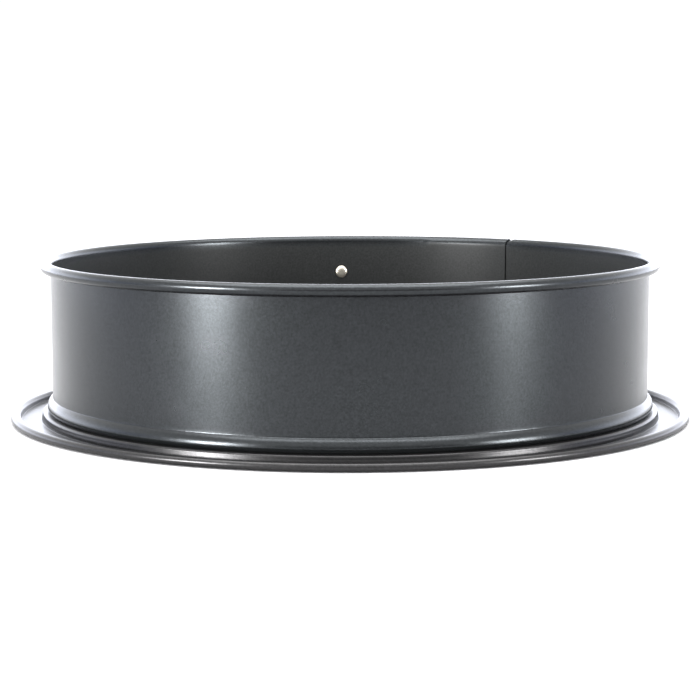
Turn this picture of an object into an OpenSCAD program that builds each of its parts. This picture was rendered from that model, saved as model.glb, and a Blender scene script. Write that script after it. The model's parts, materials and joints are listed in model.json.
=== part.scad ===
// Springform pan: a split sheet-steel band, closed by a lever clasp at the back, on a loose base.
// Millimetres, +Z up. The origin is on the pan's axis, on the surface that the base rests on.
// The band is one springy strip on the real pan. Here it is a front half and two rear quarters,
// which turn a few degrees about upright flex lines at the sides when the clasp opens.

/* [Band] */
// Outer radius of the straight wall
wall_r = 130; // [110:1:160]
// Thickness of the band's sheet
band_t = 0.5; // [0.4:0.05:0.7]
// Height of the top of the rim above the surface the pan rests on
pan_h = 69.4; // [60:0.5:100]
// Radius of the rolled rim
curl_r = 2.5; // [2:0.1:3]
// How far the lower bead swells out from the wall
bead_out = 2.3; // [1.8:0.1:2.6]
// How far the skirt under the lower bead stands out from the wall
skirt_out = 1.5; // [1.2:0.1:1.6]
// Height from the band's lower edge to the middle of the lower bead
bead_up = 3.6; // [3.5:0.1:6]
// Gap between the two layers of the band where they overlap
layer_gap = 0.25; // [0.2:0.05:0.3]

/* [Overlap] */
// Polar angle of the inner layer's end
inner_end_a = 54.3; // [52:0.5:58]
// Polar angle of the outer layer's end
outer_end_a = 72; // [70:0.5:74]
// Angle by which the widened stretches pass the end that they make room for
joggle_a = 1.6; // [1.2:0.1:2]

/* [Base] */
// Thickness of the base's sheet
base_t = 0.7; // [0.6:0.05:1]
// Height of the pan's floor
floor_h = 7; // [6.5:0.1:8]
// Height of the ledge that the band stands on
ledge_h = 4.3; // [4:0.1:5]
// How far the ledge reaches out from the wall
ledge_out = 4.5; // [4:0.1:6]
// Depth of the small step half way down the ledge's side
step_d = 0.3; // [0.2:0.1:0.5]
// Width of the trough between the ledge and the rolled edge
trough_w = 8.75; // [6:0.25:14]
// Width of the rolled edge
edge_w = 4.6; // [4:0.1:6]
// Height of the top of the rolled edge
edge_h = 3.8; // [3.4:0.1:4.2]
// How far the rolled edge is held off the surface
edge_lift = 0.2; // [0.1:0.1:0.4]
// Gap between the band's skirt and the raised floor
seat_gap = 0.3; // [0.2:0.05:0.5]
// Gap between the band's lower edge and the ledge
stand_gap = 0.1; // [0.05:0.05:0.2]

/* [Clasp] */
// Height of the clasp's middle
clasp_z = 37; // [30:0.5:45]
// Thickness of the brackets' and the lever's sheet
strap_t = 1; // [0.8:0.1:1.2]
// Polar angle of the catch bracket's rivets
catch_a = 91.9; // [91:0.1:96]
// Width of the catch bracket's riveted plate
catch_w = 14.5; // [12:0.5:18]
// Height of both brackets' plates
plate_h = 40; // [38:1:44]
// Height between each bracket's two rivets
rivet_gap = 29.3; // [28.5:0.1:31]
// Radius of a rivet's shank
rivet_r = 1.5; // [1.2:0.1:1.8]
// Radius of a rivet's head
rivet_head_r = 3; // [2.6:0.1:3.2]
// Height of a rivet's head
rivet_head_h = 1; // [0.8:0.1:1.2]
// Polar angle of the catch bracket's hook
hook_a = 87; // [86:0.1:87.5]
// How far the hook's curl stands out from the band before it turns
hook_lift = 0.15; // [0.1:0.05:0.3]
// Free space round the bail in its hook
hook_gap = 0.9; // [0.7:0.1:1]
// Angle that the hook curls up through, open on its outer side so that the bail can leave it
hook_curl_a = 85; // [80:1:85]
// Polar angle of the lever's pivot
pivot_a = 68; // [66:0.5:69]
// Distance of the lever's pivot from the outer layer
pivot_out = 6.2; // [5.8:0.1:7]
// Width of the hinge bracket's plate on the far side of the pivot
hinge_w = 19; // [17:0.5:22]
// Distance of the hinge bracket's rivets from the pivot, along the band
hinge_rivet_x = 12.5; // [11:0.5:14]

/* [Lever and bail] */
// Distance from the lever's pivot to the bail's eye
crank_r = 10; // [8:0.5:11]
// Angle by which the closed eye lies inside the line from hook to pivot
lock_a = 4; // [2:1:6]
// Length of the lever from its pivot to its flared tab
lever_l = 50; // [40:1:60]
// Height of the lever
lever_h = 20; // [18:0.5:22]
// Distance from the lever's pivot out to its web
web_out = 4.5; // [4.2:0.1:6]
// How far the web's edges stand out past the cheeks
web_lip = 0.2; // [0.1:0.05:0.3]
// Depth of the strip of cheek behind the web
strip_in = 3; // [2:0.5:3.5]
// Width of the cheek's metal beyond the bail's eye
eye_rim = 2; // [1.5:0.1:2.2]
// Radius of the flared tab's curl
tab_r = 7; // [5:0.5:9]
// Angle that the flared tab turns through
tab_a = 50; // [30:5:60]
// Radius of the lever's pivot pin
pin_r = 1.5; // [1.2:0.1:1.8]
// Radius of the pin's heads
pin_head_r = 2.6; // [2.2:0.1:3]
// Radius of the bail's wire
wire_r = 1.25; // [1:0.05:1.4]
// Inner bend radius at the bail's corners
wire_bend = 1.75; // [1.5:0.25:3]
// Radial clearance of a running fit
fit_gap = 0.05; // [0.02:0.01:0.1]

/* [Hidden] */
$fn = 96;

// Band heights: lower edge, middle of the lower bead, middle of the rolled rim
band_z = ledge_h + stand_gap;
bead_z = band_z + bead_up;
curl_z = pan_h - curl_r;
// Radius of the rim's middle, which sets its inner side flush with the wall's
curl_cr = wall_r - band_t + curl_r;

// The outer layer is the same arc moved back until it clears the inner layer's end
shift_y = (band_t + layer_gap) / sin(inner_end_a);

// In the overlap the inner layer's rim widens to wrap the outer layer's rim
wrap_gap = 0.4;
wrap_r = curl_r + wrap_gap + band_t;
wrap_cr = wall_r - band_t + wrap_r;
wrap_slot_out = shift_y + band_t + 0.5;
// and the outer layer's bead widens to clear the inner layer's bead
swell_r = bead_out + layer_gap + band_t;
swell_cr = wall_r - 0.7;

// Base radii: raised floor, ledge, the step under it, trough and rolled edge
seat_r = wall_r - band_t + skirt_out - seat_gap;
ledge_r = wall_r + ledge_out;
step_r = ledge_r + step_d;
step_z = ledge_h / 2 + 0.1;
edge_in_r = step_r + trough_w;
edge_out_r = edge_in_r + edge_w;
edge_round = (edge_h - edge_lift) / 2;
edge_z = edge_lift + edge_round;

// A point on a circle about the pan's axis, and an arc length as an angle
function polar(r, a) = [r * cos(a), r * sin(a)];
function arc_a(len, r) = len / r * 180 / PI;
// Height of a circle of radius r above a chord's foot, a distance x along from its middle
function chord(r, x) = sqrt(r * r - x * x);

// Clasp points in plan: the hook E, the lever's pivot P and the bail's eye Q on the lever
hook_in_r = wire_r + hook_gap;
hook_r = wall_r + hook_lift + strap_t + hook_in_r;
pivot_r = wall_r + pivot_out;
E = polar(hook_r, hook_a);
P = polar(pivot_r, pivot_a) + [0, shift_y];
line_a = atan2(P.y - E.y, P.x - E.x);
Q = P + polar(crank_r, line_a - lock_a);
bail_a = atan2(Q.y - E.y, Q.x - E.x);
bail_l = norm(Q - E);

// Heights across the clasp, from its middle: ears inside cheeks inside the bail's wires
cheek_top = lever_h / 2;
ear_top = cheek_top - strap_t - 0.4;
pin_head_h = 0.8;
crank_w = 5;
// Ends of the lever's cheeks before the tab, and of its web before the pivot
tab_free = 6;
web_end = 2;
wire_z = cheek_top + pin_head_h + 0.7 + wire_r;
ear_r = pin_r + 2.2;

steel_dark = "#4a4d51";
steel_bright = "#c4c6c8";

// Ring of the given thickness, in a sketch whose x is the radius and y the height
module ring_2d(r, t) {
  difference() {
    circle(r);
    circle(r - t);
  }
}

// Section of the rolled rim: open underneath, beside the wall
module curl_2d(cr, r, slot) {
  translate([cr, curl_z])
    difference() {
      ring_2d(r, band_t);
      translate([band_t - r, -r])
        square([slot, r]);
    }
}

// Section of the lower bead, open on its inner side
module bead_2d(cr, r) {
  difference() {
    translate([cr, bead_z])
      ring_2d(r, band_t);
    translate([cr - 2 * r, bead_z - 2 * r])
      square([wall_r - band_t - cr + 2 * r, 4 * r]);
    translate([cr - 2 * r, bead_z - 2 * r])
      square([wall_r + skirt_out - band_t - cr + 2 * r, 2 * r]);
  }
}

// Section of the band: skirt, bead, wall and rim, with the bead and the rim given
module band_2d(bead_cr, bead_r, rim_cr, rim_r, slot) {
  skirt_r = wall_r + skirt_out;
  // The skirt and the wall each end inside the bead's sheet
  skirt_drop = chord(bead_r, skirt_r - bead_cr) + chord(bead_r - band_t, skirt_r - band_t - bead_cr);
  skirt_top = bead_z - skirt_drop / 2;
  wall_z = bead_z + chord(bead_r - band_t / 2, wall_r - band_t / 2 - bead_cr);
  translate([skirt_r - band_t, band_z])
    square([band_t, skirt_top - band_z]);
  bead_2d(bead_cr, bead_r);
  translate([wall_r - band_t, wall_z])
    square([band_t, curl_z - wall_z]);
  curl_2d(rim_cr, rim_r, slot);
}

module plain_2d() {
  band_2d(wall_r, bead_out, curl_cr, curl_r, 1.2);
}

module wrap_2d() {
  band_2d(wall_r, bead_out, wrap_cr, wrap_r, wrap_slot_out);
}

module swell_2d() {
  band_2d(swell_cr, swell_r, curl_cr, curl_r, 1.2);
}

// Revolves a section from one polar angle to another
module sweep(a0, a1) {
  rotate_extrude(start = a0, angle = a1 - a0)
    children();
}

// Puts an upright rivet hole's or rivet's axis, along +X, at a polar angle and height
module at_rivet(a, side) {
  rotate([0, 0, a])
    translate([0, 0, clasp_z + side * rivet_gap / 2])
      rotate([0, 90, 0])
        children();
}

module rivet_holes(a) {
  for (side = [-1, 1])
    at_rivet(a, side)
      translate([0, 0, wall_r - 5])
        cylinder(r = rivet_r, h = 10);
}

// The pivot's place in the outer layer's own frame, which is shifted back
module in_outer_layer() {
  translate([0, shift_y, 0])
    children();
}

hinge_rivet_a = pivot_a - arc_a(hinge_rivet_x, wall_r);

module base_plate() {
  sheet = base_t;
  color(steel_dark)
    rotate_extrude() {
      translate([0, floor_h - sheet])
        square([seat_r, sheet]);
      translate([seat_r - sheet, ledge_h - sheet])
        square([sheet, floor_h - ledge_h + sheet]);
      translate([seat_r - sheet, ledge_h - sheet])
        square([ledge_r - seat_r + sheet, sheet]);
      translate([ledge_r - sheet, step_z - sheet])
        square([sheet, ledge_h - step_z + sheet]);
      translate([step_r - sheet, 0])
        square([sheet, step_z]);
      translate([step_r - sheet, 0])
        square([edge_in_r + edge_round - step_r + sheet, sheet]);
      difference() {
        edge_2d(edge_round);
        edge_2d(edge_round - sheet);
        translate([edge_in_r + edge_round + 0.2, 0])
          square([0.8, edge_z]);
      }
    }
}

// Rounded outline of the rolled edge, or of the hollow inside it
module edge_2d(r) {
  for (x = [edge_in_r + edge_round, edge_out_r - edge_round])
    translate([x, edge_z])
      circle(r);
  translate([edge_in_r + edge_round, edge_z - r])
    square([edge_w - 2 * edge_round, 2 * r]);
}

module band_front() {
  color(steel_dark)
    sweep(180, 360)
      plain_2d();
}

module band_left() {
  wrap_end = outer_end_a + joggle_a;
  color(steel_dark)
    difference() {
      union() {
        sweep(wrap_end, 180)
          plain_2d();
        sweep(inner_end_a, wrap_end)
          wrap_2d();
      }
      rivet_holes(catch_a);
    }
}

module band_right() {
  swell_start = inner_end_a - joggle_a;
  color(steel_dark)
    difference() {
      union() {
        translate([0, shift_y, 0])
          rotate([90, 0, 0])
            linear_extrude(shift_y)
              plain_2d();
        in_outer_layer() {
          sweep(0, swell_start)
            plain_2d();
          sweep(swell_start, outer_end_a)
            swell_2d();
        }
      }
      in_outer_layer()
        rivet_holes(hinge_rivet_a);
    }
}

// Riveted plate against the wall, between two polar angles
module plate(a0, a1) {
  sweep(a0, a1)
    translate([wall_r, clasp_z - plate_h / 2])
      square([strap_t, plate_h]);
}

module catch_bracket() {
  half_a = arc_a(catch_w / 2, wall_r);
  root_a = arc_a(0.8, wall_r);
  strap_h = lever_h;
  color(steel_bright)
    difference() {
      union() {
        rotate([0, 0, hook_a]) {
          plate(catch_a - half_a - hook_a, catch_a + half_a - hook_a);
          translate([0, 0, clasp_z - strap_h / 2]) {
            sweep(-root_a, catch_a - hook_a)
              translate([wall_r, 0])
                square([strap_t, strap_h]);
            translate([hook_r, 0, 0])
              sweep(180, 180 + hook_curl_a)
                translate([hook_in_r, 0])
                  square([strap_t, strap_h]);
          }
        }
      }
      rivet_holes(catch_a);
    }
}

module hinge_bracket() {
  a1 = pivot_a + arc_a(3, wall_r);
  a0 = pivot_a - arc_a(hinge_w, wall_r);
  color(steel_bright)
    in_outer_layer()
      difference() {
        union() {
          plate(a0, a1);
          for (side = [-1, 1])
            translate([0, 0, clasp_z + side * (ear_top - strap_t / 2)])
              ear();
        }
        rivet_holes(hinge_rivet_a);
        rotate([0, 0, pivot_a])
          translate([pivot_r, 0, clasp_z - ear_top - 1])
            cylinder(r = pin_r, h = 2 * ear_top + 2);
      }
}

// One of the two ears that carry the pin: round about the pivot, rooted on the plate
module ear() {
  rotate([0, 0, pivot_a])
    translate([0, 0, -strap_t / 2]) {
      translate([pivot_r, 0, 0])
        cylinder(r = ear_r, h = strap_t);
      difference() {
        translate([wall_r, -ear_r, 0])
          cube([pivot_out, 2 * ear_r, strap_t]);
        translate([0, 0, -1])
          cylinder(r = wall_r + strap_t / 2, h = strap_t + 2);
      }
    }
}

// Domed head on a disc, standing on z = 0
module head(r, h) {
  dome_r = (r * r + h * h) / (2 * h);
  intersection() {
    cylinder(r = r, h = h);
    translate([0, 0, h - dome_r])
      sphere(dome_r);
  }
}

// Rivet through the wall and a plate on it. An inner head shows in the pan; without one the
// rivet is flush, so that the band's other layer can slide past
module rivet(a, side, inner_head) {
  head_seat = sqrt(wall_r * wall_r - rivet_head_r * rivet_head_r) - band_t;
  start = inner_head ? head_seat - rivet_head_h / 2 : wall_r - band_t;
  outer = wall_r + strap_t;
  at_rivet(a, side) {
    translate([0, 0, start])
      cylinder(r = rivet_r, h = outer + rivet_head_h / 2 - start);
    translate([0, 0, outer])
      head(rivet_head_r, rivet_head_h);
    if (inner_head)
      translate([0, 0, head_seat])
        rotate([180, 0, 0])
          head(rivet_head_r, rivet_head_h);
  }
}

module catch_rivet_upper() {
  color(steel_bright)
    rivet(catch_a, 1, true);
}

module catch_rivet_lower() {
  color(steel_bright)
    rivet(catch_a, -1, true);
}

module hinge_rivet_upper() {
  color(steel_bright)
    in_outer_layer()
      rivet(hinge_rivet_a, 1, false);
}

module hinge_rivet_lower() {
  color(steel_bright)
    in_outer_layer()
      rivet(hinge_rivet_a, -1, false);
}

// Cheek of the lever in plan: round about the pivot and the eye, then a strip behind the web
module cheek_2d() {
  web_r = pivot_r + web_out;
  strip_a = arc_a(lever_l - tab_free, web_r);
  translate(P)
    circle(ear_r);
  translate(Q)
    circle(wire_r + eye_rim);
  translate(P)
    rotate(line_a - lock_a)
      translate([0, -crank_w / 2])
        square([crank_r, crank_w]);
  translate([0, shift_y])
    intersection() {
      difference() {
        circle(web_r + strap_t / 2);
        circle(web_r - strip_in);
      }
      rotate(pivot_a - strip_a)
        polygon([[0, 0], [2 * web_r, 0], polar(2 * web_r, strip_a)]);
    }
}

module lever() {
  web_r = pivot_r + web_out;
  web_a = pivot_a - arc_a(lever_l, web_r);
  color(steel_bright)
    difference() {
      union() {
        for (side = [0, 1])
          translate([0, 0, clasp_z - cheek_top + side * (lever_h - strap_t)])
            linear_extrude(strap_t)
              cheek_2d();
        in_outer_layer()
          rotate([0, 0, web_a])
            translate([0, 0, clasp_z - cheek_top - web_lip]) {
              sweep(0, pivot_a - arc_a(web_end, web_r) - web_a)
                translate([web_r, 0])
                  square([strap_t, lever_h + 2 * web_lip]);
              translate([web_r + strap_t + tab_r, 0, 0])
                sweep(180, 180 + tab_a)
                  translate([tab_r, 0])
                    square([strap_t, lever_h + 2 * web_lip]);
            }
      }
      translate([P.x, P.y, clasp_z - lever_h])
        cylinder(r = pin_r + fit_gap, h = 2 * lever_h);
      translate([Q.x, Q.y, clasp_z - lever_h])
        cylinder(r = wire_r + fit_gap, h = 2 * lever_h);
    }
}

module lever_pin() {
  color(steel_bright)
    translate([P.x, P.y, clasp_z]) {
      translate([0, 0, -cheek_top - 0.1])
        cylinder(r = pin_r, h = lever_h + 0.2);
      for (side = [0, 1])
        mirror([0, 0, side])
          translate([0, 0, cheek_top + 0.1])
            cylinder(r = pin_head_r, h = pin_head_h);
    }
}

// Upper half of the bail, from the middle of its hooked end to its inturned eye, along +X from E
module bail_half() {
  bend = wire_bend + wire_r;
  stub = 3;
  cylinder(r = wire_r, h = wire_z - bend);
  translate([bend, 0, wire_z - bend])
    rotate([90, 0, 0])
      rotate([0, 0, 90])
        rotate_extrude(angle = 90)
          translate([bend, 0])
            circle(wire_r);
  translate([bend, 0, wire_z])
    rotate([0, 90, 0])
      cylinder(r = wire_r, h = bail_l - bend);
  translate([bail_l, 0, wire_z])
    sphere(wire_r);
  translate([bail_l, 0, cheek_top - stub])
    cylinder(r = wire_r, h = wire_z - cheek_top + stub);
}

module bail() {
  color(steel_bright)
    translate([E.x, E.y, clasp_z])
      rotate([0, 0, bail_a])
        for (side = [0, 1])
          mirror([0, 0, side])
            bail_half();
}

base_plate();
band_front();
band_left();
band_right();
catch_bracket();
catch_rivet_upper();
catch_rivet_lower();
hinge_bracket();
hinge_rivet_upper();
hinge_rivet_lower();
lever();
lever_pin();
bail();
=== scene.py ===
# %% [markdown]
# # A springform pan
# The pan is pressed and rolled from thin steel sheet, so nearly every piece here is one idea used
# again: the middle line of a sheet, given a thickness and carried along a path. Lengths in the
# code are millimetres, as on a workshop drawing, and become metres when a mesh is made.

# %% Load the frame
import json

import bpy
import numpy as np
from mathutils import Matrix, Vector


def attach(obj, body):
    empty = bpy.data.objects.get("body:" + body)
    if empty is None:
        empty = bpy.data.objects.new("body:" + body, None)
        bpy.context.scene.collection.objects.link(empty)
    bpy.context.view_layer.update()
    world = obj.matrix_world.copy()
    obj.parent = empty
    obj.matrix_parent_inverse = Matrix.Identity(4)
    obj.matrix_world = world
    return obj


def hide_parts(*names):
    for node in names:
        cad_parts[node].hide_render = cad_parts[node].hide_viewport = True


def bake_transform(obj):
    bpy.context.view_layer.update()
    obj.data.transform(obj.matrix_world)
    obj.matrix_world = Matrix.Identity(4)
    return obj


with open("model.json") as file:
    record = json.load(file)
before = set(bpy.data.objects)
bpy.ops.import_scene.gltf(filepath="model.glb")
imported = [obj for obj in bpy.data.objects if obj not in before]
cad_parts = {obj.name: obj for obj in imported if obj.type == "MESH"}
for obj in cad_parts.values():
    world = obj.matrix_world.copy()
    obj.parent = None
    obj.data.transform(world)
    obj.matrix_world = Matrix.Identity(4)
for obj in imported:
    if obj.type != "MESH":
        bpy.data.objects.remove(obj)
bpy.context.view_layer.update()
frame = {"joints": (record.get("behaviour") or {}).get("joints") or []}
MM = 0.001
hinge_at = {j["name"]: np.array(j["pos_m"][:2]) / MM for j in frame["joints"] if "pos_m" in j}

# %% [markdown]
# ## Measures
# The band stands on the base's ledge; its rim is a rolled tube and its lower bead a bulge that is
# fuller above than below.
# The sizes could be typed into each piece, but pieces that meet have to share them, so they are
# named once here and the rest is worked out. An R is a radius, an A an angle round the pan in
# degrees from the right, and a Z a height above the table.

# %% Sizes of the band and the base
BAND_T = 0.5
WALL_R = 130.0
BAND_Z = 4.4
BEAD_Z = 6.2
SKIRT_R = 131.5
BEAD = (130.0, 2.3, 3.9, 2.0)
RIM = (132.0, 2.5, 66.9)
WRAPPED_RIM = (132.9, 3.4, 66.0)
NESTED_RIM = (132.0, 2.5, 66.05)
SWOLLEN_BEAD = (129.3, 3.05, 4.35, 2.35)
BAND_FOLD = 0.3
MID_WALL = 30.0
CURL_TUCK = 0.35
WRAPPED_END = -108
INNER_END = 54.3
OUTER_END = 72.0
LAYER_SHIFT = 0.9236
FRONT_CUT = -13.3

BASE_T = 0.7
FLOOR_Z = 7.0
SEAT_R = 130.7
LEDGE_R = 134.5
LEDGE_Z = 4.3
STEP_R = 134.8
STEP_Z = 2.25
EDGE_R = (143.55, 148.15)
EDGE_ROUND = 1.8
EDGE_Z = 2.0
EDGE_TUCK = 0.4
BASE_FOLD = 0.5

CLASP_Z = 37.0
STRAP_T = 1.0
CATCH_A = 91.9
RIVET_GAP = 29.3
HINGE_RIVET_A = 62.49
RIVET_R = 1.5
RIVET_HEAD = (3.0, 1.0)
HEAD_LIFT = 0.03
print("the band is", 2 * WALL_R, "mm across and", RIM[1] + RIM[2], "mm high")

# %% [markdown]
# ## From arrays to meshes
# A surface is a grid of points: rings one way, points round each ring the other way. Blender can
# make one from a Grid primitive moved vertex by vertex, but with numpy the points and the faces of
# a whole piece come from a few array sums, which is quicker and exact.

# %% Grid to mesh
def grid_faces(rings, around, closed_rings):
    """Four-sided faces of a grid whose rings are closed: point j of ring i joins its neighbours."""
    steps = np.arange(rings if closed_rings else rings - 1)
    i, j = np.meshgrid(steps, np.arange(around), indexing="ij")
    here, there = i * around, (i + 1) % rings * around
    after = (j + 1) % around
    return np.stack([here + j, here + after, there + after, there + j], -1).reshape(-1, 4)


def volume(points, faces):
    """Six times the signed volume: each face's corner, measured from the middle of all points,
    times the cross product of its diagonals."""
    a, b, c, d = (points[faces[:, k]] - points.mean(0) for k in range(4))
    return np.einsum("ij,ij->i", a, np.cross(c - a, d - b)).sum()


def closed_shell(grid, closed_rings):
    """Points in metres and outward faces of a grid, with flat ends where its rings stop."""
    rings, around, _ = grid.shape
    points = grid.reshape(-1, 3) * MM
    faces = grid_faces(rings, around, closed_rings)
    inside_out = volume(points, faces) < 0
    faces = (faces[:, ::-1] if inside_out else faces).tolist()
    if not closed_rings:
        first = np.arange(around)[::-1]
        last = np.arange(around) + (rings - 1) * around
        faces += [(e[::-1] if inside_out else e).tolist() for e in (first, last)]
    return points, faces


def make_piece(name, grids, body, stands_for, closed_rings=False, sharp=50, inside=None):
    """A piece from one or more grids (rings, around, 3) in mm, each a closed shell. Inside is a
    share for each point of a ring, kept with the mesh for its material."""
    shells = [closed_shell(grid, closed_rings) for grid in grids]
    starts = np.cumsum([0] + [len(points) for points, _ in shells])
    points = np.concatenate([points for points, _ in shells])
    parts = [part for _, part in shells]
    faces = [[k + start for k in face] for start, part in zip(starts.tolist(), parts) for face in part]
    mesh = bpy.data.meshes.new(name)
    mesh.from_pydata(points, [], faces)
    mesh.polygons.foreach_set("use_smooth", np.ones(len(faces), bool))
    mesh.set_sharp_from_angle(angle=np.radians(sharp))
    if inside is not None:
        share = mesh.attributes.new("inside", "FLOAT", "POINT")
        share.data.foreach_set("value", np.tile(inside, len(points) // len(inside)).astype(np.float32))
    piece = bpy.data.objects.new(name, mesh)
    bpy.context.scene.collection.objects.link(piece)
    if body:
        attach(piece, body)
    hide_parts(*stands_for)
    print(f"{name}: {len(points)} points")
    return piece


# %% [markdown]
# ## The line of a folded sheet
# A press can't fold sheet to a knife edge: each fold has a small radius. The line could be drawn
# with a fillet at every corner, but here it is drawn sharp and then averaged along its length,
# which rounds each fold just as the metal does and leaves long straights alone.

# %% Drawing, softening and thickening a line
def arc(centre, radius, start, end, count=60):
    """Points on a circle or an ellipse: centre plus radius times (cosine, sine) of each angle."""
    a = np.radians(np.linspace(start, end, count))
    return np.array(centre) + np.array(radius) * np.stack([np.cos(a), np.sin(a)], -1)


def spaced(points, at):
    """Points at given distances along a line, by interpolation on its running length."""
    run = np.concatenate([[0], np.cumsum(np.hypot(*np.diff(points, axis=0).T))])
    at = at(run[-1]) if callable(at) else at
    return np.stack([np.interp(at, run, points[:, k]) for k in range(2)], -1)


def softened(points, blend, step=0.04):
    """The line averaged with bell-shaped weights as wide as blend; each end stays where it is."""
    line = spaced(points, lambda length: np.linspace(0, length, int(length / step)))
    reach = int(4 * blend / step)
    weights = np.exp(-0.5 * (np.arange(-reach, reach + 1) * step / blend) ** 2)
    weights /= weights.sum()
    before = 2 * line[0] - line[reach:0:-1]
    after = 2 * line[-1] - line[-2:-reach - 2:-1]
    padded = np.concatenate([before, line, after])
    return np.stack([np.convolve(padded[:, k], weights, "valid") for k in range(2)], -1)


def thinned(line, count, fold_weight=6.0):
    """Count points from a dense line, closer where it turns: even steps of length plus turning."""
    step = np.diff(line, axis=0)
    heading = np.unwrap(np.arctan2(step[:, 1], step[:, 0]))
    turning = np.abs(np.gradient(heading))
    effort = np.concatenate([[0], np.cumsum(np.hypot(*step.T) + fold_weight * turning)])
    at = np.interp(np.linspace(0, effort[-1], count), effort, np.arange(len(line)))
    return np.stack([np.interp(at, np.arange(len(line)), line[:, k]) for k in range(2)], -1)


def sheet_outline(line, thickness, round_steps=5):
    """Closed outline of a sheet: the line moved half a thickness to each side, with rounded ends."""
    along = np.gradient(line, axis=0)
    along /= np.hypot(*along.T)[:, None]
    side = np.stack([-along[:, 1], along[:, 0]], -1) * thickness / 2
    turn = np.linspace(0, np.pi, round_steps + 2)[1:-1, None]
    end = line[-1] + np.cos(turn) * side[-1] + np.sin(turn) * along[-1] * thickness / 2
    start = line[0] - np.cos(turn) * side[0] - np.sin(turn) * along[0] * thickness / 2
    return np.concatenate([line + side, end, (line - side)[::-1], start])


# %% [markdown]
# ## The band's section
# From the bottom: a short skirt round the base, the lower bead that stiffens it, the straight
# wall, and the rolled rim, whose cut edge hides underneath. It could be modelled as a thin tube
# with a Solidify modifier, but a drawn line keeps both sides of the sheet and its cut edges true.

# %% Section of the band
def band_line(bead, rim, points=96):
    """Middle of the band's sheet, as (radius, height): skirt, bead, wall and rolled rim. The bead
    is given by its middle radius, its depth and its reach above and below its widest point; the rim
    by middle radius, depth and height above the table. The bead's upper side is one arc from its
    widest point to the wall: its radius is reach squared plus rise squared over twice the rise."""
    half = BAND_T / 2
    bead_r, rim_r = bead[1] - half, rim[1] - half
    low = -np.degrees(np.arccos((SKIRT_R - half - bead[0]) / bead_r))
    rise = bead[0] + bead_r - (WALL_R - half)
    upper_r = (bead[2] ** 2 + rise ** 2) / (2 * rise)
    high = np.degrees(np.arcsin(bead[2] / upper_r))
    tube_end = WRAPPED_END if rim is WRAPPED_RIM else -np.degrees(np.arccos(-CURL_TUCK))
    pressed = [
        [[SKIRT_R - half, BAND_Z + half]],
        arc((bead[0], BEAD_Z), (bead_r, bead[3] - half), low, 0),
        arc((bead[0] + bead_r - upper_r, BEAD_Z), upper_r, 0, high),
        [[WALL_R - half, MID_WALL - 0.1]],
    ]
    rolled = [[[WALL_R - half, MID_WALL]], arc((rim[0], rim[2]), rim_r, 180, tube_end)]
    parts = [softened(np.concatenate(corners), BAND_FOLD) for corners in (pressed, rolled)]
    return thinned(np.concatenate(parts), points)


PLAIN = sheet_outline(band_line(BEAD, RIM), BAND_T)
WRAPPED = sheet_outline(band_line(BEAD, WRAPPED_RIM), BAND_T)
SWOLLEN = sheet_outline(band_line(SWOLLEN_BEAD, NESTED_RIM), BAND_T)
# The inside share marks the band's inner face, where the coat is drawn darker as painted shade.
INSIDE = (PLAIN[:, 0] < WALL_R - BAND_T / 2) * np.clip((RIM[2] - PLAIN[:, 1]) / 3, 0, 1)
print("the band's outline has", len(PLAIN), "points")


# %% [markdown]
# ## Carrying a section round the pan
# Both layers of the band are arcs of one circle. The outer layer's circle is moved back by a
# little less than a millimetre, so that it passes behind the inner layer's end. The section
# changes along the way, so each ring is a mix of two outlines.

# %% Section to swept grid
def swept(outline, angles, centres=0.0, other=None, share=0.0):
    """Rings of an outline of (radius, height) turned to each angle about the pan's axis. Centres
    moves each ring back, and share mixes in the other outline, ring by ring."""
    share = np.broadcast_to(share, angles.shape)[:, None, None]
    outline = outline * (1 - share) + (outline if other is None else other) * share
    a = np.radians(angles)[:, None]
    x = outline[..., 0] * np.cos(a)
    y = outline[..., 0] * np.sin(a) + np.broadcast_to(centres, a.shape[:1])[:, None]
    return np.stack([x, y, outline[..., 1] + 0 * x], -1)


def smooth_step(x, low, high):
    """Nought before low, one after high, and the S-curve 3t squared less 2t cubed between."""
    t = np.clip((x - low) / (high - low), 0, 1)
    return t * t * (3 - 2 * t)


# %% [markdown]
# ## Non-stick coated steel
# The sheet is carbon steel sprayed with a dark PTFE coating and baked. Metal flake in the coating
# gives it a satin sheen: dark face on, with broad soft highlights, and pale at a grazing angle.
# A plain grey would miss the flake, so fine noise breaks up its colour, roughness and level.

# %% Material helpers
def linear(colour):
    """An sRGB hex colour as linear light: below 0.04045 divided by 12.92, else a 2.4 power."""
    c = np.array([int(colour[k:k + 2], 16) for k in (1, 3, 5)]) / 255
    c = np.where(c < 0.04045, c / 12.92, ((c + 0.055) / 1.055) ** 2.4)
    return (*c.tolist(), 1.0)


def add(tree, kind, settings=None, **links):
    """Adds a node. Settings name its properties or numbered inputs, links name input sockets."""
    node = tree.nodes.new(kind)
    for key, value in (settings or {}).items():
        if isinstance(key, str) and hasattr(node, key):
            setattr(node, key, value)
        else:
            node.inputs[key].default_value = value
    for key, source in links.items():
        socket = int(key[1:]) if key[1:].isdigit() else key.replace("_", " ")
        tree.links.new(source, node.inputs[socket])
    return node


def new_material(name):
    """An empty material and its node tree, with a Principled shader on the output."""
    material = bpy.data.materials.new(name)
    material.use_nodes = True
    tree = material.node_tree
    tree.nodes.clear()
    output = add(tree, "ShaderNodeOutputMaterial")
    shader = add(tree, "ShaderNodeBsdfPrincipled")
    tree.links.new(shader.outputs[0], output.inputs[0])
    return material, tree, shader


def ramp(tree, source, *stops):
    """A colour ramp: each stop is a place from nought to one and the colour there."""
    node = add(tree, "ShaderNodeValToRGB", {}, Fac=source)
    elements = node.color_ramp.elements
    for place, _ in stops[2:]:
        elements.new(place)
    for element, (place, colour) in zip(elements, stops):
        element.position = place
        element.color = linear(colour)
    return node.outputs[0]


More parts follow.
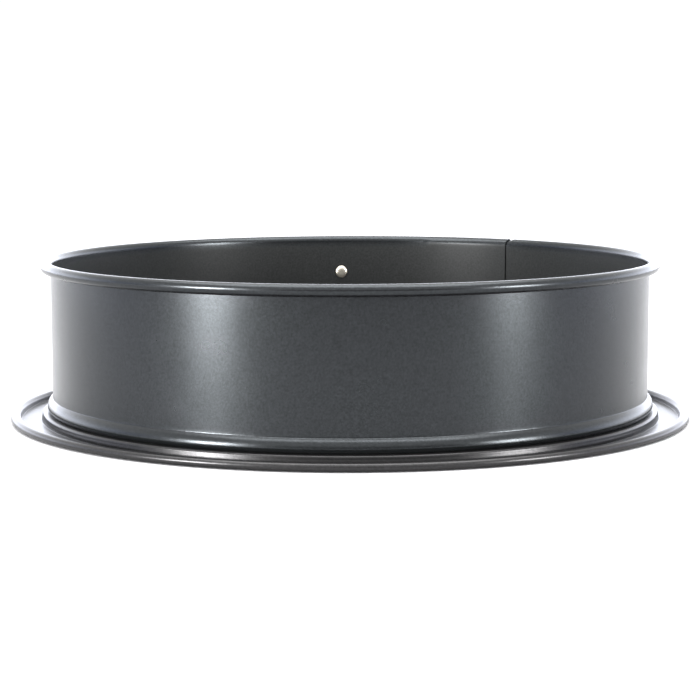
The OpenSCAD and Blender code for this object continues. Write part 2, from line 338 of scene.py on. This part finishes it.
def between(tree, source, low, high):
    """A value from nought to one carried to low and high."""
    node = add(tree, "ShaderNodeMapRange", {"To Min": low, "To Max": high}, Value=source)
    return node.outputs[0]


# %% Coated steel
FLAKE_MM = 0.8
MOTTLE_MM = 14.0
GRAIN_MM = 0.05
MOTTLE_ROUGH = 0.035
FOOD_SIDE_ROUGHER = 0.12
FOOD_SIDE_METALLIC = 0.1


def nonstick_steel(name, dark, pale, metallic, rough, inner=None):
    """Baked non-stick coating with metal flake, drawn coarser than it is so that it shows.
    Inner is the food-side coat. Its darker colours are painted shade inside the pan, and it also has more
    roughness and less metal. It is laid where the mesh's inside share is one."""
    material, tree, shader = new_material(name)
    place = add(tree, "ShaderNodeTexCoord").outputs["Object"]
    flake = add(tree, "ShaderNodeTexNoise", {"Scale": 1 / (FLAKE_MM * MM), "Detail": 2.0}, Vector=place)
    mottle = add(tree, "ShaderNodeTexNoise", {"Scale": 1 / (MOTTLE_MM * MM), "Detail": 3.0}, Vector=place)
    colour = ramp(tree, flake.outputs[0], (0.3, dark), (0.72, pale))
    mixed = between(tree, mottle.outputs[0], rough - MOTTLE_ROUGH, rough + MOTTLE_ROUGH)
    relief = {"Strength": 0.07, "Distance": GRAIN_MM * MM}
    grain = add(tree, "ShaderNodeBump", relief, Height=flake.outputs[0])
    shader.inputs["Metallic"].default_value = metallic
    shader.inputs["Specular IOR Level"].default_value = 0.1
    if inner:
        share = add(tree, "ShaderNodeAttribute", {"attribute_name": "inside"}).outputs["Fac"]
        # The food side's darker colours are painted shade inside the pan.
        food_side_painted_shade = ramp(tree, flake.outputs[0], (0.3, inner[0]), (0.72, inner[1]))
        coats = add(tree, "ShaderNodeMix", {"data_type": "RGBA"}, _0=share, _6=colour, _7=food_side_painted_shade)
        dull = add(tree, "ShaderNodeMath", {"operation": "MULTIPLY", 1: FOOD_SIDE_ROUGHER}, _0=share)
        rougher = add(tree, "ShaderNodeMath", {"operation": "ADD"}, _0=mixed, _1=dull.outputs[0])
        colour, mixed = coats.outputs[2], rougher.outputs[0]
        metal = between(tree, share, metallic, FOOD_SIDE_METALLIC)
        tree.links.new(metal, shader.inputs["Metallic"])
    tree.links.new(colour, shader.inputs["Base Color"])
    tree.links.new(mixed, shader.inputs["Roughness"])
    tree.links.new(grain.outputs[0], shader.inputs["Normal"])
    return material


# The last pair of colours is the food side, darker than the outer pair as painted shade inside the pan.
coating = nonstick_steel("nonstick_coated_steel", "#2b2d2e", "#36383a", 0.85, 0.26, ("#212222", "#2a2b2b"))
base_coating = nonstick_steel("nonstick_coated_base", "#303030", "#3c3b3c", 0.85, 0.3)
print("coating made")

# %% [markdown]
# ## Nickel-plated steel
# The clasp and the rivets are bright: steel barrel-plated with nickel, a slightly warm silver.
# Tumbling in the barrel leaves fine scuffs in every direction, so roughness varies in patches.

# %% Plated steel
SCUFF_MM = 3.0
CLOUD_MM = 9.0
RIPPLE_MM = 0.03


def plated_steel(name, colour, rough):
    """Nickel plate: full metal, with scuffs that change its roughness and a faint ripple."""
    material, tree, shader = new_material(name)
    place = add(tree, "ShaderNodeTexCoord").outputs["Object"]
    scuff = add(tree, "ShaderNodeTexNoise", {"Scale": 1 / (SCUFF_MM * MM), "Detail": 3.0}, Vector=place)
    cloud = add(tree, "ShaderNodeTexNoise", {"Scale": 1 / (CLOUD_MM * MM), "Detail": 2.0}, Vector=place)
    tint = ramp(tree, cloud.outputs[0], (0.3, colour[0]), (0.7, colour[1]))
    relief = {"Strength": 0.05, "Distance": RIPPLE_MM * MM}
    ripple = add(tree, "ShaderNodeBump", relief, Height=scuff.outputs[0])
    tree.links.new(tint, shader.inputs["Base Color"])
    tree.links.new(between(tree, scuff.outputs[0], rough - 0.05, rough + 0.06), shader.inputs["Roughness"])
    tree.links.new(ripple.outputs[0], shader.inputs["Normal"])
    shader.inputs["Metallic"].default_value = 1.0
    return material


plate_finish = plated_steel("nickel_plated_steel", ("#989895", "#aaa9a6"), 0.27)
rivet_finish = plated_steel("nickel_plated_rivet", ("#d3ccbd", "#e4decf"), 0.36)
print("plating made")

# %% [markdown]
# ## The base
# One pressed sheet: a raised floor inside the band, a ledge that the band stands on, a trough
# that catches drips, and an edge rolled over for stiffness. It is a shape of revolution, which a
# Screw modifier could make; a grid swept by angle keeps its sheet thickness in the same step.
# The flat floor needs few rings and the folds many, so the line is thinned apart for each.

# %% Base piece
FLOOR_FLAT_R = SEAT_R - 4
RING_STEP = 1.25


def base_line():
    """Middle of the base's sheet from near the axis out to the tucked end of the rolled edge."""
    half = BASE_T / 2
    roll = EDGE_ROUND - half
    left, right = EDGE_R[0] + EDGE_ROUND, EDGE_R[1] - EDGE_ROUND
    seat, ledge, step = SEAT_R - half, LEDGE_R - half, STEP_R - half
    corners = [
        [[0.02, FLOOR_Z - half], [seat, FLOOR_Z - half], [seat, LEDGE_Z - half]],
        [[ledge, LEDGE_Z - half], [ledge, STEP_Z + 0.2], [step, STEP_Z - 0.1], [step, half]],
        [[left - roll, half]],
        arc((left, EDGE_Z), roll, 180, 90),
        arc((right, EDGE_Z), roll, 90, -90),
        [[left + EDGE_TUCK, EDGE_Z - roll]],
    ]
    return softened(np.concatenate(corners), BASE_FOLD)


line = base_line()
in_floor = line[:, 0] < FLOOR_FLAT_R
core = line[in_floor][::400]
fold = thinned(line[~in_floor], 150)
base_grid = swept(sheet_outline(np.concatenate([core, fold]), BASE_T), np.arange(0, 360, RING_STEP))
base = make_piece("base_sheet", [base_grid], "base", ["base_plate"], closed_rings=True)
base.data.materials.append(base_coating)

# %% [markdown]
# ## The band in two pieces
# The springy strip is one piece of metal. When the clasp opens, its back swings out while its
# front stays, so it is drawn as a long piece from the front round by the left and a short one
# round by the right.
# They meet edge to edge in the part that never moves. Rings stand a degree apart, and closer
# where the section changes. In the overlap the inner layer's rim is wide enough to wrap the
# outer's, and the outer layer's bead swells to clear the inner's.

# %% Long piece: the inner end, round by the left to the front
COARSE, FINE = 1.0, 0.4
WRAP_CHANGE = (OUTER_END - 0.3, OUTER_END + 1.8)
last, settled = 360 + FRONT_CUT, OUTER_END + 4
turns = np.concatenate([np.arange(INNER_END, settled, FINE), np.arange(settled, last, COARSE), [last]])
wrap_share = 1 - smooth_step(turns, *WRAP_CHANGE)
long_grid = swept(PLAIN, turns, 0.0, WRAPPED, wrap_share)
band_long = make_piece("band_long", [long_grid], None, ["band_front", "band_left"], inside=INSIDE)
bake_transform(band_long)

# %% Short piece: from the front by the right to the outer end
SWELL_CHANGE = (INNER_END - 1.9, INNER_END - 0.3)
before = np.append(np.arange(FRONT_CUT, -0.5, COARSE), 0.0)
stretches = [np.arange(0, 50, COARSE), np.arange(50, 56, FINE), np.arange(56, OUTER_END, COARSE)]
beyond = np.append(np.concatenate(stretches), OUTER_END)
turns = np.concatenate([before, beyond])
moved = np.concatenate([0 * before, 0 * beyond + LAYER_SHIFT])
swell_share = smooth_step(turns, *SWELL_CHANGE)
short_grid = swept(PLAIN, turns, moved, SWOLLEN, swell_share)
band_short = make_piece("band_short", [short_grid], None, ["band_right"], inside=INSIDE)
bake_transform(band_short)
for piece in (band_long, band_short):
    piece.data.materials.append(coating)

# %% [markdown]
# ## Rivets
# A rivet is set by a shaped punch, which leaves a low dome with a fuller rim than a ball's and a
# trace of a dimple. A squashed sphere would lack both, so its profile is a short formula.

# %% Rivets
def turned(profile, place, axis, steps=48):
    """A profile of (distance along the axis, radius) turned about an axis through place."""
    axis = np.array(axis) / np.linalg.norm(axis)
    side = np.cross(axis, (0, 0, 1) if abs(axis[2]) < 0.5 else (1, 0, 0))
    side /= np.linalg.norm(side)
    a = np.linspace(0, 2 * np.pi, steps, endpoint=False)[:, None]
    spoke = np.cos(a) * side + np.sin(a) * np.cross(axis, side)
    along = profile[:, 0, None, None] * axis
    return np.array(place) + along + profile[:, 1, None, None] * spoke


def head_profile(radius, height, dimple=0.03, steps=22):
    """From the middle of a rivet's head out: height times the root of one less the cube of the
    share of the radius, with a shallow dimple taken out of its middle."""
    r = radius * np.sin(np.linspace(0.001, np.pi / 2, steps))
    dome = height * np.sqrt(np.clip(1 - (r / radius) ** 3, 0, 1))
    return np.stack([dome - dimple * np.exp(-((r / (0.3 * radius)) ** 2)), r], -1)


def rivet(name, angle, height, body, inner_head, back=0.0):
    """A rivet through the band at a polar angle: outer head, shank, and an inner head or none."""
    a = np.radians(angle)
    out = (np.cos(a), np.sin(a), 0)
    place = (0, back, height)
    head = head_profile(*RIVET_HEAD)
    outer = head + [WALL_R + STRAP_T, 0]
    inner = (head * [-1, 1] + [WALL_R - BAND_T - HEAD_LIFT, 0])[::-1]
    flush = np.array([[WALL_R - BAND_T, 0.01]])
    shank = np.array([[WALL_R + STRAP_T, RIVET_R], [WALL_R - BAND_T, RIVET_R]])
    profile = np.concatenate([outer, shank, inner if inner_head else flush])
    piece = make_piece(name + "_set", [turned(profile, place, out)], body, [name])
    piece.data.materials.append(rivet_finish)
    return piece


for word, side in (("upper", 1), ("lower", -1)):
    level = CLASP_Z + side * RIVET_GAP / 2
    rivet(f"catch_rivet_{word}", CATCH_A, level, "band_left", True)
    rivet(f"hinge_rivet_{word}", HINGE_RIVET_A, level, "band_right", False, LAYER_SHIFT)

# %% [markdown]
# ## Strips and plates of the clasp
# The clasp is stamped from one-millimetre strip and tumbled, so its edges are slightly round. A
# Bevel modifier could do that on the plain solids, but a strip carried along its path in plan
# gets round edges, round corners and even bends at once. A HALF is half a height, measured from
# the clasp's middle, and LEVELS are the undersides of a pair of plates from that middle.

# %% Sizes of the clasp
PLATE_HALF = 20.0
STRAP_HALF = 10.0
STRAP_R = WALL_R + STRAP_T / 2
CATCH_SPREAD = 3.19
NARROWING = (14.2, 15.0)
HOOK_A = 87.0
HOOK_R = 133.3
CURL_R = 2.65
CURL_TURN = (180, 265)
WIRE_R = 1.25
BEND_R = 3.0
WIRE_SOFT = 0.15
BAIL_HALF = 12.75
STUB_HALF = 7.0

HINGE_PLATE_A = (59.63, 69.32)
PIN_A = 68.0
EAR_R = 3.7
EAR_FOOT_R = STRAP_R + 3.4
EAR_LEVELS = (-8.6, 7.6)
LEVER_A = (47.64, 67.19)
LEVER_R = 141.2
LEVER_HALF = 10.2
TAB_R = 7.5
TAB_TURN = (180, 230)
CHEEK_LEVELS = (-10, 9)
CHEEK_FROM = 50.08
CHEEK_INNER_R = 137.7
EYE_RIM_R = 3.25
EYE_A = 63.9
CHEEK_NECK = 2.5
CHEEK_LEAVES_BACK = (66.8, 69)
PIN_R = 1.5
PIN_HEAD = (2.6, 0.8)
PIN_HALF = 10.1
print("the clasp is", 2 * PLATE_HALF, "mm high on a wire of", 2 * WIRE_R, "mm")

# %% Strip, plate and wire
def rounding(near, radius):
    """How far a quarter circle of this radius stands back from a corner, near it."""
    return radius - np.sqrt(np.clip(radius ** 2 - np.clip(radius - near, 0, None) ** 2, 0, None))


def strip(path, half_height, corner=2.0, soft=0.2, count=110):
    """An upright strip along a path in plan: rings of a rounded rectangle, one strip thickness
    across and twice half_height high. Half_height is a function of the running length."""
    line = spaced(path, lambda length: length * (0.5 - 0.5 * np.cos(np.pi * np.linspace(0, 1, count))))
    run = np.concatenate([[0], np.cumsum(np.hypot(*np.diff(line, axis=0).T))])
    near = np.minimum(run, run[-1] - run)[:, None]
    tall = half_height(run)[:, None] - rounding(near, corner)
    along = np.gradient(line, axis=0)
    side = np.stack([-along[:, 1], along[:, 0]], -1) / np.hypot(*along.T)[:, None]
    turn = np.radians(np.concatenate([np.linspace(0, 90, 4) + 90 * k for k in range(4)]))
    half_across = STRAP_T / 2 - soft - rounding(near, soft)
    across = np.repeat([1, -1, -1, 1], 4) * half_across + soft * np.cos(turn)
    up = CLASP_Z + np.repeat([1, 1, -1, -1], 4) * (tall - soft) + soft * np.sin(turn)
    plan = line[:, None, :] + across[..., None] * side[:, None, :]
    return np.concatenate([plan, up[..., None]], -1)


def plate(outline, low, high, soft=0.2):
    """A flat plate from low to high: rings of its outline, drawn in by a quarter circle at both
    faces. The outline runs anticlockwise."""
    along = np.roll(outline, -1, 0) - np.roll(outline, 1, 0)
    inward = np.stack([-along[:, 1], along[:, 0]], -1) / np.hypot(*along.T)[:, None]
    turn = np.linspace(0, np.pi / 2, 4)
    inset = np.concatenate([soft * (1 - np.sin(turn)), soft * (1 - np.sin(turn))[::-1]])
    rise = soft * (1 - np.cos(turn))
    level = np.concatenate([low + rise, (high - rise)[::-1]])
    plan = outline[None] + inset[:, None, None] * inward
    return np.concatenate([plan, np.broadcast_to(level[:, None, None], (*plan.shape[:2], 1))], -1)


def wire(path, radius, normal, soft=0.3, steps=20):
    """Round wire along a path in one plane: a circle spanned by the plane's normal and the
    crosswise direction, a little smaller at both ends."""
    along = np.gradient(path, axis=0)
    run = np.concatenate([[0], np.cumsum(np.linalg.norm(np.diff(path, axis=0), axis=1))])
    size = radius - rounding(np.minimum(run, run[-1] - run), soft)[:, None, None]
    side = np.cross(normal, along / np.linalg.norm(along, axis=1)[:, None])[:, None, :]
    turn = np.linspace(0, 2 * np.pi, steps, endpoint=False)[None, :, None]
    return path[:, None, :] + size * (np.cos(turn) * normal + np.sin(turn) * side)


# %% [markdown]
# ## The catch bracket and the bail
# The bracket's strap ends in a curl that holds the bail's cross wire. The bail is one length of
# wire bent into a frame whose ends turn in and sit in the lever's eyes. Both lie along the band
# when the clasp is shut.

# %% Catch bracket and bail
def polar(radius, angle, back=0.0):
    """A point in plan at a radius and an angle, moved back with the outer layer if asked."""
    return np.array([radius * np.cos(np.radians(angle)), radius * np.sin(np.radians(angle)) + back])


HOOK = polar(HOOK_R, HOOK_A)
PIN = hinge_at["lever_hinge"]
EYE = hinge_at["bail_eye"]

curl = arc(HOOK, CURL_R, *(HOOK_A + turn for turn in CURL_TURN))
path = np.concatenate([arc((0, 0), STRAP_R, CATCH_A + CATCH_SPREAD, HOOK_A + 0.2), curl])
catch = strip(path, lambda run: PLATE_HALF + (STRAP_HALF - PLATE_HALF) * smooth_step(run, *NARROWING))

reach = np.linalg.norm(EYE - HOOK)
near, far, level = BEND_R, reach - BEND_R, BAIL_HALF - BEND_R
bends = [
    [[reach, -STUB_HALF]],
    arc((far, -level), BEND_R, 0, -90, 12),
    arc((near, -level), BEND_R, -90, -180, 12),
    arc((near, level), BEND_R, 180, 90, 12),
    arc((far, level), BEND_R, 90, 0, 12),
    [[reach, STUB_HALF]],
]
bent = softened(np.concatenate(bends), WIRE_SOFT)[::6]
ahead = (EYE - HOOK) / reach
route = np.column_stack([HOOK + bent[:, :1] * ahead, CLASP_Z + bent[:, 1]])
frame_wire = wire(route, WIRE_R, np.array([-ahead[1], ahead[0], 0]))
pieces = [make_piece("catch_strap", [catch], "band_left", ["catch_bracket"])]
pieces.append(make_piece("bail_wire", [frame_wire], "bail", ["bail"]))

# %% [markdown]
# ## The hinge bracket and the lever
# The bracket's two ears hold the pin. The lever is a channel: a curved back that follows the
# band, two cheeks that turn on the pin and carry the bail's ends, and a flared tab for the thumb.
# Each cheek's edges are worked out as inner and outer radius for every angle.

# %% Hinge bracket, lever and pin
def capsule(start, end, radius, steps=24):
    """Anticlockwise outline of a bar with round ends: two half circles, joined straight."""
    heading = np.degrees(np.arctan2(*(end - start)[::-1]))
    nose = arc(end, radius, heading - 90, heading + 90, steps)
    return np.concatenate([nose, arc(start, radius, heading + 90, heading + 270, steps)])


def span(angles, centre, radius):
    """Where each ray from the pan's middle enters and leaves a circle, by the chord's half length."""
    apart = np.radians(angles - np.degrees(np.arctan2(centre[1], centre[0])))
    away = np.hypot(*centre)
    half = np.sqrt(np.clip(radius ** 2 - (away * np.sin(apart)) ** 2, 0, None))
    return away * np.cos(apart) - half, away * np.cos(apart) + half


def cheek_outline(count=90):
    """The lever's cheek: a band beside its back that widens round the bail's eye and the pin. Its
    inner edge is the least of the band's, the two circles' and the neck's radius at each angle."""
    pin, eye = PIN - (0, LAYER_SHIFT), EYE - (0, LAYER_SHIFT)
    pin_away, eye_away = np.hypot(*pin), np.hypot(*eye)
    last = PIN_A + np.degrees(EAR_R / pin_away)
    angles = CHEEK_FROM + (last - CHEEK_FROM) * np.sin(np.linspace(0, np.pi / 2, count))
    pin_in, pin_out = span(angles, pin, EAR_R)
    eye_in, _ = span(angles, eye, EYE_RIM_R)
    necks = [eye_away - CHEEK_NECK, pin_away - CHEEK_NECK]
    edges = [
        np.where(eye_in < eye_away - 0.4, eye_in, CHEEK_INNER_R),
        np.where(angles > PIN_A - 1.4, pin_in, CHEEK_INNER_R),
        np.interp(angles, [EYE_A, PIN_A], necks, left=CHEEK_INNER_R),
        np.full(count, CHEEK_INNER_R),
    ]
    inner = np.where(angles > PIN_A, pin_in, np.min(edges, axis=0))
    outer = pin_out + (LEVER_R - pin_out) * (1 - smooth_step(angles, *CHEEK_LEAVES_BACK))
    loop = [polar(radius, angles, LAYER_SHIFT).T for radius in (outer, inner)]
    return np.concatenate([loop[0], loop[1][-2::-1]])


def stamped(outline, levels):
    """A pair of flat plates with one outline, each a strip thickness thick, from given levels."""
    return [plate(outline, CLASP_Z + level, CLASP_Z + level + STRAP_T) for level in levels]


hinge_arc = arc((0, LAYER_SHIFT), STRAP_R, *HINGE_PLATE_A)
hinge_plate = strip(hinge_arc, lambda run: PLATE_HALF + 0 * run)
ears = stamped(capsule(polar(EAR_FOOT_R, PIN_A, LAYER_SHIFT), PIN, EAR_R), EAR_LEVELS)
pieces.append(make_piece("hinge_plate", [hinge_plate, *ears], "band_right", ["hinge_bracket"]))

tab_middle = polar(LEVER_R + TAB_R, LEVER_A[0], LAYER_SHIFT)
tab = arc(tab_middle, TAB_R, *(LEVER_A[0] + turn for turn in TAB_TURN))
back_path = np.concatenate([arc((0, LAYER_SHIFT), LEVER_R, LEVER_A[1], LEVER_A[0] + 0.06), tab])
lever_back = strip(back_path, lambda run: LEVER_HALF + 0 * run, corner=3.0)
cheeks = stamped(cheek_outline(), CHEEK_LEVELS)
pieces.append(make_piece("lever_channel", [lever_back, *cheeks], "lever", ["lever"]))

cap = head_profile(*PIN_HEAD, steps=12) + [PIN_HALF, 0]
shank = [[PIN_HALF, PIN_R], [-PIN_HALF, PIN_R]]
rod = np.concatenate([cap, shank, (cap * [-1, 1])[::-1]])
pin_grid = turned(rod, (*PIN, CLASP_Z), (0, 0, 1), 32)
pieces.append(make_piece("lever_pin_set", [pin_grid], "band_right", ["lever_pin"]))
for piece in pieces:
    piece.data.materials.append(plate_finish)

# %% [markdown]
# ## Studio
# A satin surface shows mostly what stands round it. Here that is a white sweep behind, a darker
# room in front, a low soft box at each side and a wide one overhead, on a plain pale floor that
# ends where the sweep takes over.

# %% Floor
def flat_floor(half=1.15):
    """A square floor at height nought."""
    mesh = bpy.data.meshes.new("floor")
    corners = [(-half, -half, 0), (half, -half, 0), (half, half, 0), (-half, half, 0)]
    mesh.from_pydata(corners, [], [(0, 1, 2, 3)])
    floor = bpy.data.objects.new("floor", mesh)
    bpy.context.scene.collection.objects.link(floor)
    material, tree, shader = new_material("pale_floor")
    shader.inputs["Base Color"].default_value = linear("#b6b6b7")
    shader.inputs["Roughness"].default_value = 0.9
    shader.inputs["Specular IOR Level"].default_value = 0.0
    mesh.materials.append(material)


flat_floor()

# %% Lights
def soft_box(name, azimuth, distance, middle, size, glow):
    """A glowing panel that faces the pan. Azimuth is from the front, towards the right. Its power
    is its glow times pi times its area."""
    light = bpy.data.lights.new(name, "AREA")
    light.shape = "RECTANGLE"
    light.size, light.size_y = size
    light.energy = glow * np.pi * size[0] * size[1]
    box = bpy.data.objects.new(name, light)
    bpy.context.scene.collection.objects.link(box)
    a = np.radians(azimuth)
    box.location = (distance * np.sin(a), -distance * np.cos(a), middle)
    aim = np.array([0, 0, min(middle, 1)]) - np.array(box.location)
    box.rotation_euler = Vector(aim).to_track_quat("-Z", "Y").to_euler()
    return box


SIDE_BOX = {"distance": 1.6, "middle": 0.24, "size": (0.34, 0.46)}
soft_box("left_box", -50, glow=110, **SIDE_BOX)
soft_box("right_box", 59.5, glow=57, **SIDE_BOX)
soft_box("top_box", 0, distance=0.01, middle=1.6, size=(2.0, 1.5), glow=7.0)
print("three soft boxes")

# %% Surroundings
world = bpy.data.worlds.new("studio")
bpy.context.scene.world = world
world.use_nodes = True
tree = world.node_tree
tree.nodes.clear()
direction = add(tree, "ShaderNodeTexCoord").outputs["Generated"]
parts = add(tree, "ShaderNodeSeparateXYZ", {}, Vector=direction)
back = add(tree, "ShaderNodeMapRange", {"From Min": -1.0}, Value=parts.outputs["Y"])
room = [(0.0, "#2a2a2c"), (0.3, "#313133")]
sweep = [(0.52, "#8d94a8"), (0.72, "#eff3ff")]
horizon = ramp(tree, back.outputs[0], *room, *sweep)
rise = add(tree, "ShaderNodeMapRange", {"From Min": 0.1, "From Max": 0.5}, Value=parts.outputs["Z"])
rise.interpolation_type = "SMOOTHSTEP"
overhead = {"data_type": "RGBA", 7: linear("#9e9e9e")}
sky = add(tree, "ShaderNodeMix", overhead, _0=rise.outputs[0], _6=horizon)
around = add(tree, "ShaderNodeBackground", {"Strength": 5.5}, Color=sky.outputs[2])
seen = add(tree, "ShaderNodeBackground", {"Color": (1, 1, 1, 1), "Strength": 1.05})
rays = add(tree, "ShaderNodeLightPath")
from_camera = rays.outputs["Is Camera Ray"]
both = add(tree, "ShaderNodeMixShader", {}, Fac=from_camera, _1=around.outputs[0], _2=seen.outputs[0])
add(tree, "ShaderNodeOutputWorld", {}, Surface=both.outputs[0])
print("surroundings made")

# %% Camera
camera = bpy.data.objects.new("camera", bpy.data.cameras.new("camera"))
bpy.context.scene.collection.objects.link(camera)
camera.location = (0.00014, -0.92578, 0.14242)
camera.rotation_euler = (np.radians(82.964), 0.0018, 0)
camera.data.lens = 108.91
camera.data.sensor_width = 36
camera.data.clip_start = 0.01
bpy.context.scene.camera = camera
bpy.context.scene.view_settings.view_transform = "Standard"
print("camera set")
